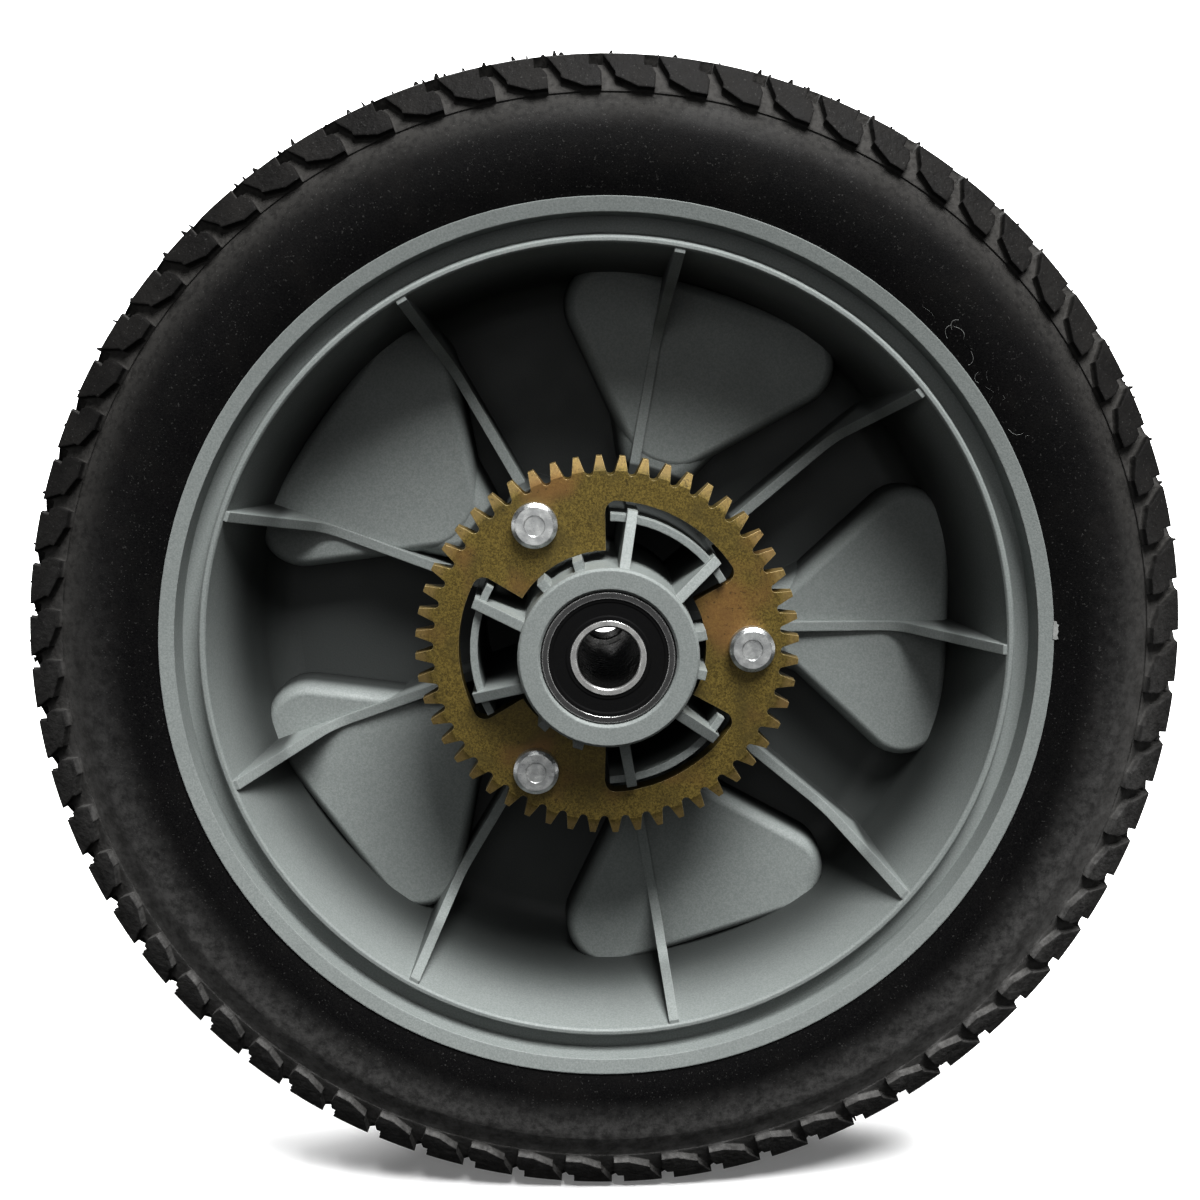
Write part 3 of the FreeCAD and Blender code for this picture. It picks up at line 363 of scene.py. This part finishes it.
def dress_wheel():
    """Give every CAD node its finish, then add the pieces that the CAD doesn't hold."""
    rubber = tyre_rubber()
    dress(grey_moulding("grey_moulding", BARREL_PAINTED_SHADE), "wheel_moulding")
    dress(rubber, "tyre")
    dress(olive_plating(), "drive_gear")
    dress(bright_zinc(), "gear_bolts", "gear_nuts")
    # Painted reflection: the outer rings' faces are dark, standing in for polished steel reflecting dark
    # surroundings.
    ring = ground_steel("outer_ring_steel", rgb(0.1, 0.1, 0.1), rgb(0.8, 0.8, 0.79))
    tube = ground_steel("spacer_steel", rgb(0.08, 0.08, 0.08), rgb(0.3, 0.3, 0.3), 14 * MM)
    ball = ground_steel("ball_steel", rgb(0.62, 0.62, 0.63), rgb(0.8, 0.8, 0.8))
    cage = pressed_steel()
    seal = seal_rubber()
    dress(tube, "bearing_spacer")
    for side, bore in (("inboard", 7.94), ("outboard", 6.35)):
        inner = ground_steel(f"{side}_inner_steel", rgb(0.5, 0.5, 0.49), rgb(0.85, 0.85, 0.84), bore * MM)
        dress(inner, f"{side}_inner_ring")
        dress(ring, f"{side}_outer_ring")
        dress(ball, f"{side}_balls")
        dress(cage, f"{side}_cage_front", f"{side}_cage_back", f"{side}_cage_rivets")
        dress(seal, f"{side}_front_seal", f"{side}_back_seal")
    add_web_lobes(grey_moulding("grey_lobes", 0.0))
    scuff = pale_scuff()
    add_small_pieces(rubber, scuff)
    add_flange_burr(scuff)


# Pieces built by geometry nodes

class Tree:
    """A geometry node tree, built node by node."""

    def __init__(self, name, **inputs):
        self.tree = bpy.data.node_groups.new(name, "GeometryNodeTree")
        self.tree.interface.new_socket("Mesh", in_out="OUTPUT", socket_type="NodeSocketGeometry")
        self.keys = {}
        for label, kind in inputs.items():
            socket = self.tree.interface.new_socket(label, in_out="INPUT", socket_type=f"NodeSocket{kind}")
            self.keys[label] = socket.identifier
        self.given = self.tree.nodes.new("NodeGroupInput").outputs

    def add(self, kind, feeds=None, **settings):
        """A node with its settings, and its inputs by name or number."""
        made = self.tree.nodes.new(kind)
        for name, value in settings.items():
            setattr(made, name, value)
        for socket, value in (feeds or {}).items():
            if isinstance(value, bpy.types.NodeSocket):
                self.tree.links.new(value, made.inputs[socket])
            else:
                made.inputs[socket].default_value = value
        return made.outputs

    def math(self, operation, first, second=0.0):
        return self.add("ShaderNodeMath", {0: first, 1: second}, operation=operation)[0]

    def random(self, low, high, seed):
        """A random number for each point."""
        return self.add("FunctionNodeRandomValue", {2: low, 3: high, 8: seed}, data_type="FLOAT")[1]

    def finish(self, instances, material):
        """Real meshes out of the instances, with their material."""
        real = self.add("GeometryNodeRealizeInstances", {0: instances})[0]
        done = self.add("GeometryNodeSetMaterial", {0: real, 2: material})[0]
        self.add("NodeGroupOutput", {0: done})


def plain_mesh(name, host):
    """Turn a piece's evaluated nodes and modifiers into its own mesh, and let it turn with the wheel."""
    graph = bpy.context.evaluated_depsgraph_get()
    mesh = bpy.data.meshes.new_from_object(host.evaluated_get(graph), depsgraph=graph)
    host.modifiers.clear()
    host.data = mesh
    mesh.name = name
    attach(host, "wheel")


# Lobes of the web: the rounded triangle's arc centres and arc radius, and its foot, top and brow
LOBE_CENTRES = ((85, 26), (59, 1.5), (59, -1.5), (85, -26))
LOBE_ARC = 13
LOBE_FOOT = 25.3
LOBE_TOP = 9.8
LOBE_BROW = 3.6
LOBE_COUNT = 5
# Share of the rise, and share of the brow that the outline has drawn in at that height
LOBE_RINGS = (
    (0, 0), (0.45, 0.06), (0.68, 0.14), (0.82, 0.27), (0.91, 0.44), (0.97, 0.66), (0.993, 0.85), (1, 1),
)
# Steps round one arc of the outline and along one straight edge, and the skin's thickness
ARC_STEPS = 12
EDGE_STEPS = 8
LOBE_SKIN = 0.8 * MM
# The barrel's inner wall: its radius and depth at the lip and at the foot
BARREL_LIP = (104.5, -26)
BARREL_FOOT = (95, 24.5)


def lobe_outline(inset):
    """Points round one lobe, drawn in by an inset."""
    points = []
    count = len(LOBE_CENTRES)
    for number in range(count):
        before, here, after = (Vector(LOBE_CENTRES[(number + step) % count]) for step in (-1, 0, 1))
        start = -(here - before).orthogonal()
        end = -(after - here).orthogonal()
        first = math.atan2(start.y, start.x)
        turn = (math.atan2(end.y, end.x) - first) % math.tau
        for step in range(ARC_STEPS + 1):
            angle = first + turn * step / ARC_STEPS
            points.append(here + Vector((math.cos(angle), math.sin(angle))) * (LOBE_ARC - inset))
        edge_start = points[-1]
        edge_end = after + end.normalized() * (LOBE_ARC - inset)
        points += [edge_start.lerp(edge_end, step / EDGE_STEPS) for step in range(1, EDGE_STEPS)]
    return points


def lobe_mesh():
    """One raised lobe as a skin from the web to its top, kept inside the barrel."""
    (lip_radius, lip_depth), (foot_radius, foot_depth) = BARREL_LIP, BARREL_FOOT
    mesh = bmesh.new()
    rings = []
    for rise, brow in LOBE_RINGS:
        depth = LOBE_FOOT + (LOBE_TOP - LOBE_FOOT) * rise
        limit = lip_radius + (foot_radius - lip_radius) * (depth - lip_depth) / (foot_depth - lip_depth) + 1
        ring = []
        for point in lobe_outline(LOBE_BROW * brow):
            if point.length > limit:
                point = point * (limit / point.length)
            ring.append(mesh.verts.new(Vector((point.x, depth, point.y)) * MM))
        rings.append(ring)
    for low, high in zip(rings, rings[1:]):
        for number in range(len(low)):
            mesh.faces.new((low[number - 1], low[number], high[number], high[number - 1]))
    mesh.faces.new(rings[-1])
    bmesh.ops.recalc_face_normals(mesh, faces=mesh.faces)
    top = max(mesh.faces, key=lambda face: face.calc_area())
    if top.normal.y > 0:
        bmesh.ops.reverse_faces(mesh, faces=mesh.faces)
    for face in mesh.faces:
        face.smooth = len(face.verts) == 4
    made = bpy.data.meshes.new("web_lobes")
    mesh.to_mesh(made)
    mesh.free()
    return made


def lobe_tree():
    """One lobe set round the axle a number of times."""
    tree = Tree("web_lobes", Lobe="Geometry", Count="Int", Material="Material")
    given = tree.given
    step = tree.math("DIVIDE", math.tau, given["Count"])
    angle = tree.math("MULTIPLY", tree.add("GeometryNodeInputIndex")[0], step)
    turn = tree.add("FunctionNodeEulerToRotation", {0: tree.add("ShaderNodeCombineXYZ", {1: angle})[0]})[0]
    around = tree.add("GeometryNodeInstanceOnPoints", {
        "Points": tree.add("GeometryNodePoints", {"Count": given["Count"]})[0],
        "Instance": given["Lobe"], "Rotation": turn,
    })["Instances"]
    tree.finish(around, given["Material"])
    return tree


def add_web_lobes(material):
    """Lay the five lobes' skins on the web as one piece."""
    host = bpy.data.objects.new("web_lobes", lobe_mesh())
    bpy.context.scene.collection.objects.link(host)
    skin = host.modifiers.new("skin", "SOLIDIFY")
    skin.thickness = LOBE_SKIN
    skin.offset = -1
    tree = lobe_tree()
    modifier = host.modifiers.new("around", "NODES")
    modifier.node_group = tree.tree
    modifier[tree.keys["Count"]] = LOBE_COUNT
    modifier[tree.keys["Material"]] = material
    plain_mesh("web_lobes", host)


def surface_patch(tree):
    """True on the part of the tyre that lies between two radii, two angles and two places on the axle."""
    given = tree.given
    place = tree.add("ShaderNodeSeparateXYZ", {0: tree.add("GeometryNodeInputPosition")[0]})
    across = tree.math("MULTIPLY", place["X"], place["X"])
    up = tree.math("MULTIPLY", place["Z"], place["Z"])
    radius = tree.math("SQRT", tree.math("ADD", across, up))
    angle = tree.math("ARCTAN2", place["Z"], place["X"])
    share = tree.math("GREATER_THAN", radius, given["Inner Radius"])
    for test, value, limit in (
        ("LESS_THAN", radius, "Outer Radius"),
        ("GREATER_THAN", angle, "Start Angle"),
        ("LESS_THAN", angle, "End Angle"),
        ("GREATER_THAN", place["Y"], "Front"),
        ("LESS_THAN", place["Y"], "Back"),
    ):
        share = tree.math("MULTIPLY", share, tree.math(test, value, given[limit]))
    return share


# Inputs of a tree that grows small pieces on a patch of the tyre
PATCH = {
    "Carrier": "Object", "Inner Radius": "Float", "Outer Radius": "Float", "Start Angle": "Float",
    "End Angle": "Float", "Front": "Float", "Back": "Float", "Spacing": "Float", "Density": "Float",
    "Length": "Float", "Thickness": "Float", "Seed": "Int", "Material": "Material",
}


# How far a hair or a strand leans from its normal, and how far it may spin about it, in radians
HAIR_LEAN = 0.35
STRAND_LEAN = 0.03
FULL_SPIN = 3.1


def scattered_points(tree):
    """Points on the patch, spaced apart, with the way that each faces."""
    given = tree.given
    carrier = tree.add("GeometryNodeObjectInfo", {0: given["Carrier"]}, transform_space="ORIGINAL")
    return tree.add("GeometryNodeDistributePointsOnFaces", {
        "Mesh": carrier["Geometry"], "Selection": surface_patch(tree), "Distance Min": given["Spacing"],
        "Density Max": given["Density"], "Seed": given["Seed"],
    }, distribute_method="POISSON")


def turned(tree, rotation, tilt, spin):
    """A facing tilted at random, and spun about its own normal."""
    seed = tree.given["Seed"]
    lean = tree.add("ShaderNodeCombineXYZ", {
        0: tree.random(-tilt, tilt, tree.math("ADD", seed, 1)),
        1: tree.random(-tilt, tilt, tree.math("ADD", seed, 2)),
        2: tree.random(-spin, spin, tree.math("ADD", seed, 3)),
    })[0]
    lean = tree.add("FunctionNodeEulerToRotation", {0: lean})[0]
    return tree.add("FunctionNodeRotateRotation", {0: rotation, 1: lean}, rotation_space="LOCAL")[0]


def vent_hair_tree():
    """Short tapered rubber hairs that stand on the tread."""
    tree = Tree("vent_hairs", **PATCH)
    given = tree.given
    points = scattered_points(tree)
    hair = tree.add("GeometryNodeMeshCone", {
        "Vertices": 6, "Radius Top": tree.math("MULTIPLY", given["Thickness"], 0.4),
        "Radius Bottom": given["Thickness"], "Depth": given["Length"],
    })["Mesh"]
    height = tree.random(0.3, 1.0, tree.math("ADD", given["Seed"], 4))
    girth = tree.random(0.6, 1.4, tree.math("ADD", given["Seed"], 5))
    grown = tree.add("GeometryNodeInstanceOnPoints", {
        "Points": points["Points"], "Instance": hair,
        "Rotation": turned(tree, points["Rotation"], HAIR_LEAN, FULL_SPIN),
        "Scale": tree.add("ShaderNodeCombineXYZ", {0: girth, 1: girth, 2: height})[0],
    })["Instances"]
    tree.finish(grown, given["Material"])
    return tree


def scuff_strand_tree():
    """Fine curled strands that lie on the tyre's wall."""
    tree = Tree("scuff_strands", **PATCH)
    given = tree.given
    points = scattered_points(tree)
    length = given["Length"]
    lift = tree.math("MULTIPLY", given["Thickness"], 1.5)
    start = tree.add("ShaderNodeCombineXYZ", {0: tree.math("MULTIPLY", length, -0.5)})[0]
    middle = tree.add("ShaderNodeCombineXYZ", {
        0: tree.math("MULTIPLY", length, 0.15), 1: tree.math("MULTIPLY", length, 0.55), 2: lift,
    })[0]
    end = tree.add("ShaderNodeCombineXYZ", {0: tree.math("MULTIPLY", length, 0.5)})[0]
    line = tree.add("GeometryNodeCurveQuadraticBezier", {
        "Resolution": 6, "Start": start, "Middle": middle, "End": end,
    })[0]
    ring = tree.add("GeometryNodeCurvePrimitiveCircle", {"Resolution": 4, "Radius": given["Thickness"]})[0]
    strand = tree.add("GeometryNodeCurveToMesh", {
        "Curve": line, "Profile Curve": ring, "Fill Caps": True,
    })[0]
    reach = tree.random(0.3, 1.3, tree.math("ADD", given["Seed"], 4))
    curl = tree.random(-1.3, 1.3, tree.math("ADD", given["Seed"], 5))
    laid = tree.add("GeometryNodeInstanceOnPoints", {
        "Points": points["Points"], "Instance": strand,
        "Rotation": turned(tree, points["Rotation"], STRAND_LEAN, FULL_SPIN),
        "Scale": tree.add("ShaderNodeCombineXYZ", {0: reach, 1: curl, 2: 1.0})[0],
    })["Instances"]
    tree.finish(laid, given["Material"])
    return tree


def scatter(name, tree, slot, **sizes):
    """Grow a tree's pieces on the tyre as one plain mesh that turns with the wheel."""
    host = bpy.data.objects.new(name, bpy.data.meshes.new(name))
    bpy.context.scene.collection.objects.link(host)
    modifier = host.modifiers.new(name, "NODES")
    modifier.node_group = tree.tree
    modifier[tree.keys["Carrier"]] = nodes["tyre"]
    for label, value in sizes.items():
        modifier[tree.keys[label.replace("_", " ")]] = value
    plain_mesh(name, host)


def add_small_pieces(rubber, scuff):
    """Grow the vent hairs on the tread and the scuffed strands on the wall."""
    scatter(
        "vent_hairs", vent_hair_tree(), "tyre", Inner_Radius=151.2 * MM, Outer_Radius=TYRE_RADIUS + MM,
        Start_Angle=-4.0, End_Angle=4.0, Front=-20 * MM, Back=20 * MM, Spacing=5 * MM, Density=30000.0,
        Length=1.5 * MM, Thickness=0.55 * MM, Seed=7, Material=rubber)
    scatter(
        "scuff_strands", scuff_strand_tree(), "moulding", Inner_Radius=116.4 * MM, Outer_Radius=121.5 * MM,
        Start_Angle=math.radians(27), End_Angle=math.radians(48), Front=-40 * MM, Back=-20 * MM,
        Spacing=1.3 * MM, Density=90000.0, Length=3.4 * MM, Thickness=0.045 * MM, Seed=11, Material=scuff)


# Torn flake on the rim flange's edge: its outline as radius and height, and its place along the axle
BURR_OUTLINE = (
    (115.5, -2.2), (116.2, -2.4), (117.0, -2.2), (116.6, -1.3), (116.9, -0.2), (116.7, 0.9), (117.0, 1.5),
    (116.5, 1.7), (116.3, 2.4), (115.5, 2.5),
)
BURR_FRONT = -29.1
BURR_THICKNESS = 0.7
BURR_HEIGHT = 5.7


def add_flange_burr(material):
    """A small torn flake, as a thin plate of its outline."""
    mesh = bmesh.new()
    ends = []
    for depth in (BURR_FRONT, BURR_FRONT + BURR_THICKNESS):
        ends.append([mesh.verts.new(Vector((x, depth, z + BURR_HEIGHT)) * MM) for x, z in BURR_OUTLINE])
    front, back = ends
    mesh.faces.new(front)
    mesh.faces.new(back[::-1])
    for number in range(len(front)):
        mesh.faces.new((front[number], front[number - 1], back[number - 1], back[number]))
    bmesh.ops.recalc_face_normals(mesh, faces=mesh.faces)
    made = bpy.data.meshes.new("flange_burr")
    mesh.to_mesh(made)
    mesh.free()
    made.materials.append(material)
    host = bpy.data.objects.new("flange_burr", made)
    bpy.context.scene.collection.objects.link(host)
    plain_mesh("flange_burr", host)


# Camera, light and floor

# The photo's camera: its lens and sensor width in millimetres, its place and the way it looks
CAMERA_LENS = 52.5
CAMERA_SENSOR = 36
CAMERA_PLACE = Vector((-10.4, -472.8, 91.4)) * MM
CAMERA_FORWARD = (0.0184, 0.985, -0.1714)
# Below 1, the darks of the picture grow deeper
VIEW_GAMMA = 0.82
# Distances from the wheel between which the floor's own glow grows, and the glow at both
GLOW_NEAR, GLOW_FAR = 0.4, 1.3
GLOW_LOW, GLOW_HIGH = 0.15, 1.2


def aim(obj, place, forward, up):
    """Put an object at a place, looking along a way."""
    forward = Vector(forward).normalized()
    right = forward.cross(Vector(up)).normalized()
    top = right.cross(forward)
    turn = Matrix((right, top, -forward)).transposed()
    obj.matrix_world = Matrix.Translation(place) @ turn.to_4x4()


def add_camera():
    data = bpy.data.cameras.new("camera")
    data.sensor_width = CAMERA_SENSOR
    data.lens = CAMERA_LENS
    camera = bpy.data.objects.new("camera", data)
    bpy.context.scene.collection.objects.link(camera)
    aim(camera, CAMERA_PLACE, CAMERA_FORWARD, (0, 0, 1))
    bpy.context.scene.camera = camera


def add_softbox(name, place, target, size, power):
    data = bpy.data.lights.new(name, "AREA")
    data.shape = "RECTANGLE"
    data.size, data.size_y = size
    data.energy = power
    light = bpy.data.objects.new(name, data)
    bpy.context.scene.collection.objects.link(light)
    place = Vector(place)
    aim(light, place, Vector(target) - place, (0, 0.1, 1))
    light.visible_camera = False
    return light


def add_lights():
    """Dim surroundings that only the camera sees as pale, and the studio's softboxes."""
    world = bpy.data.worlds.new("studio")
    world.use_nodes = True
    tree = world.node_tree
    dim = tree.nodes["Background"]
    dim.inputs["Color"].default_value = rgb(0.9, 0.95, 1.0)
    dim.inputs["Strength"].default_value = 0.015
    pale = tree.nodes.new("ShaderNodeBackground")
    pale.inputs["Color"].default_value = rgb(1, 1, 1)
    pale.inputs["Strength"].default_value = 1.2
    seen = tree.nodes.new("ShaderNodeLightPath").outputs["Is Camera Ray"]
    mix = tree.nodes.new("ShaderNodeMixShader")
    tree.links.new(seen, mix.inputs[0])
    tree.links.new(dim.outputs[0], mix.inputs[1])
    tree.links.new(pale.outputs[0], mix.inputs[2])
    tree.links.new(mix.outputs[0], tree.nodes["World Output"].inputs["Surface"])
    bpy.context.scene.world = world
    add_softbox("key", (0.45, -1.2, 2.05), (0, 0, 0), (1.2, 1.1), 140)
    add_softbox("front", (-0.2, -1.5, 0.5), (0, 0, 0), (1.0, 0.8), 4)
    card = add_softbox("gloss_card", (0.0, -1.2, -0.1), (0, 0, 0), (1.2, 0.5), 1.5)
    card.visible_diffuse = False
    add_softbox("left_fill", (-1.1, -0.1, -0.05), (0, 0, -0.1), (0.8, 0.5), 2)
    add_softbox("right_fill", (1.1, -0.1, -0.05), (0, 0, -0.1), (0.8, 0.5), 2)
    add_softbox("rear", (-0.5, 1.15, 1.1), (0, 0, 0), (1.0, 0.9), 26)
    add_softbox("backdrop", (0.0, 0.7, 1.3), (0, 1.6, 0.2), (1.8, 0.5), 40)


def add_floor():
    """A pale sweep that lights nothing: floor, a round bend, and a wall behind."""
    half_width = 4
    front = -3
    bend_start = 1.3
    bend_radius = 0.8
    wall_top = 4
    profile = [(front, 0)]
    steps = 24
    for step in range(steps + 1):
        angle = math.pi / 2 * step / steps
        profile.append((bend_start + bend_radius * math.sin(angle), bend_radius * (1 - math.cos(angle))))
    profile.append((bend_start + bend_radius, wall_top))
    points = [(x, y, FLOOR_HEIGHT + z) for y, z in profile for x in (-half_width, half_width)]
    faces = [(2 * n, 2 * n + 1, 2 * n + 3, 2 * n + 2) for n in range(len(profile) - 1)]
    mesh = bpy.data.meshes.new("sweep")
    mesh.from_pydata(points, [], faces)
    mesh.polygons.foreach_set("use_smooth", [True] * len(mesh.polygons))
    finish = Finish("pale_sweep", Specular_IOR_Level=0.2, Roughness=0.8, Emission_Color=rgb(1, 1, 1))
    finish.material.cycles.emission_sampling = "NONE"
    away = finish.node("VectorMath", operation="LENGTH")
    finish.feed(away.inputs[0], finish.place)
    glow = finish.ramp(away.outputs["Value"], GLOW_NEAR, GLOW_FAR, GLOW_LOW, GLOW_HIGH)
    finish.feed(finish.shader.inputs["Emission Strength"], glow)
    cloud = finish.noise(0.3, detail=2.0)
    finish.colour(finish.blend(cloud, rgb(0.82, 0.82, 0.82), rgb(0.86, 0.86, 0.86)))
    mesh.materials.append(finish.material)
    sweep = bpy.data.objects.new("sweep", mesh)
    bpy.context.scene.collection.objects.link(sweep)
    sweep.visible_diffuse = False
    sweep.visible_glossy = False


dress_wheel()
add_camera()
add_lights()
add_floor()
bpy.context.scene.view_settings.view_transform = "Standard"
bpy.context.scene.view_settings.gamma = VIEW_GAMMA
